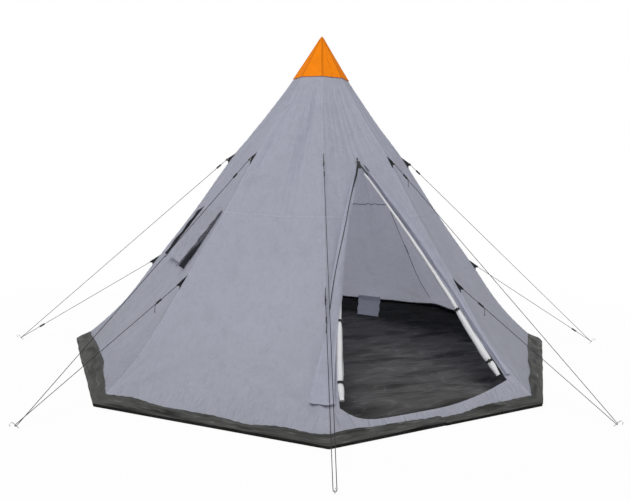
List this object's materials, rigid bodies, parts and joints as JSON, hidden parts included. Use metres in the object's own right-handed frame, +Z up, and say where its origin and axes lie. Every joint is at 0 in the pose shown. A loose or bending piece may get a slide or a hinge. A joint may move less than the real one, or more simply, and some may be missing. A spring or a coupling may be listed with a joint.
{
  "type": "teepee tent",
  "caption": "Eight-sided teepee tent on a centre pole: grey canopy, orange peak cap, tub groundsheet, tied-back door, propped side vent and pegged guy lines with sliding runners.",
  "frame": {"origin": "on the ground under the peak, at the middle of the groundsheet", "axes": "+Z up; the doorway faces -Y, the vent faces -X"},
  "size_m": [4.5462, 4.5462, 2.5],
  "materials": {
    "canopy": "plain woven polyester, matt",
    "peak_cap": "plain woven polyester, matt",
    "groundsheet": "crinkled woven polyethylene sheet",
    "net": "fine white netting, rolled",
    "vent_netting": "fine black netting",
    "tie": "woven webbing",
    "guy_rope": "braided cord",
    "runner": "moulded, matt",
    "peg": "zinc plated wire",
    "pole": "galvanised tube",
    "pole_end": "moulded, matt",
    "slider": "dark olive lacquer"
  },
  "bodies": {
    "tent": {"door_flap_left": "canopy", "door_flap_right": "canopy", "door_tie_left_lower": "tie", "door_tie_left_upper": "tie", "door_tie_right_lower": "tie", "door_tie_right_upper": "tie", "door_zip_slider": "slider", "groundsheet_tub": "groundsheet", "guy_rope_1": "guy_rope", "guy_rope_2": "guy_rope", "guy_rope_3": "guy_rope", "guy_rope_4": "guy_rope", "guy_rope_5": "guy_rope", "guy_rope_6": "guy_rope", "guy_rope_7": "guy_rope", "guy_rope_8": "guy_rope", "net_left": "net", "net_right": "net", "panel_door": "canopy", "panel_left_front": "canopy", "panel_left_rear": "canopy", "panel_rear": "canopy", "panel_right": "canopy", "panel_right_front": "canopy", "panel_right_rear": "canopy", "panel_vent": "canopy", "peak_cap": "peak_cap", "peg_1": "peg", "peg_2": "peg", "peg_3": "peg", "peg_4": "peg", "peg_5": "peg", "peg_6": "peg", "peg_7": "peg", "peg_8": "peg", "pole_foot": "pole_end", "pole_section_1": "pole", "pole_section_2": "pole", "pole_section_3": "pole", "pole_section_4": "pole", "pole_tip": "pole_end", "rear_flap": "canopy", "vent_mesh": "vent_netting"},
    "runner_lower_1": {"runner_lower_1": "runner"},
    "runner_lower_2": {"runner_lower_2": "runner"},
    "runner_lower_3": {"runner_lower_3": "runner"},
    "runner_lower_4": {"runner_lower_4": "runner"},
    "runner_lower_5": {"runner_lower_5": "runner"},
    "runner_lower_6": {"runner_lower_6": "runner"},
    "runner_lower_7": {"runner_lower_7": "runner"},
    "runner_lower_8": {"runner_lower_8": "runner"},
    "runner_upper_1": {"runner_upper_1": "runner"},
    "runner_upper_2": {"runner_upper_2": "runner"},
    "runner_upper_3": {"runner_upper_3": "runner"},
    "runner_upper_4": {"runner_upper_4": "runner"},
    "runner_upper_5": {"runner_upper_5": "runner"},
    "runner_upper_6": {"runner_upper_6": "runner"},
    "runner_upper_7": {"runner_upper_7": "runner"},
    "runner_upper_8": {"runner_upper_8": "runner"},
    "vent_flap": {"vent_flap": "canopy"}
  },
  "joints": [
    {"name": "runner_lower_1_slide", "type": "slide", "parent": "tent", "child": "runner_lower_1", "axis": [0.321, -0.7901, -0.5222], "range_m": [-0.135, 0.45]},
    {"name": "runner_lower_2_slide", "type": "slide", "parent": "tent", "child": "runner_lower_2", "axis": [0.7857, -0.3317, -0.5222], "range_m": [-1.01, 0.1]},
    {"name": "runner_lower_3_slide", "type": "slide", "parent": "tent", "child": "runner_lower_3", "axis": [0.7901, 0.321, -0.5222], "range_m": [-0.135, 0.45]},
    {"name": "runner_lower_4_slide", "type": "slide", "parent": "tent", "child": "runner_lower_4", "axis": [0.3317, 0.7857, -0.5222], "range_m": [-0.135, 0.45]},
    {"name": "runner_lower_5_slide", "type": "slide", "parent": "tent", "child": "runner_lower_5", "axis": [-0.321, 0.7901, -0.5222], "range_m": [-0.135, 0.45]},
    {"name": "runner_lower_6_slide", "type": "slide", "parent": "tent", "child": "runner_lower_6", "axis": [-0.7857, 0.3317, -0.5222], "range_m": [-1.01, 0.1]},
    {"name": "runner_lower_7_slide", "type": "slide", "parent": "tent", "child": "runner_lower_7", "axis": [-0.7901, -0.321, -0.5222], "range_m": [-0.135, 0.45]},
    {"name": "runner_lower_8_slide", "type": "slide", "parent": "tent", "child": "runner_lower_8", "axis": [-0.3317, -0.7857, -0.5222], "range_m": [-0.135, 0.45]},
    {"name": "runner_upper_1_slide", "type": "slide", "parent": "tent", "child": "runner_upper_1", "axis": [0.2903, -0.6881, -0.665], "range_m": [-0.1, 0.6]},
    {"name": "runner_upper_2_slide", "type": "slide", "parent": "tent", "child": "runner_upper_2", "axis": [0.6919, -0.2813, -0.665], "range_m": [-0.055, 0.6]},
    {"name": "runner_upper_3_slide", "type": "slide", "parent": "tent", "child": "runner_upper_3", "axis": [0.6881, 0.2903, -0.665], "range_m": [-0.09, 0.6]},
    {"name": "runner_upper_4_slide", "type": "slide", "parent": "tent", "child": "runner_upper_4", "axis": [0.2813, 0.6919, -0.665], "range_m": [-0.09, 0.6]},
    {"name": "runner_upper_5_slide", "type": "slide", "parent": "tent", "child": "runner_upper_5", "axis": [-0.2903, 0.6881, -0.665], "range_m": [-0.09, 0.6]},
    {"name": "runner_upper_6_slide", "type": "slide", "parent": "tent", "child": "runner_upper_6", "axis": [-0.6919, 0.2813, -0.665], "range_m": [-0.045, 0.6]},
    {"name": "runner_upper_7_slide", "type": "slide", "parent": "tent", "child": "runner_upper_7", "axis": [-0.6881, -0.2903, -0.665], "range_m": [-0.135, 0.6]},
    {"name": "runner_upper_8_slide", "type": "slide", "parent": "tent", "child": "runner_upper_8", "axis": [-0.2813, -0.6919, -0.665], "range_m": [-0.09, 0.6]},
    {"name": "vent_flap_hinge", "type": "hinge", "parent": "tent", "child": "vent_flap", "pos_m": [-0.90545, -0.09, 1.15034], "axis": [0, 1, 0], "range_deg": [-4, 70]}
  ]
}
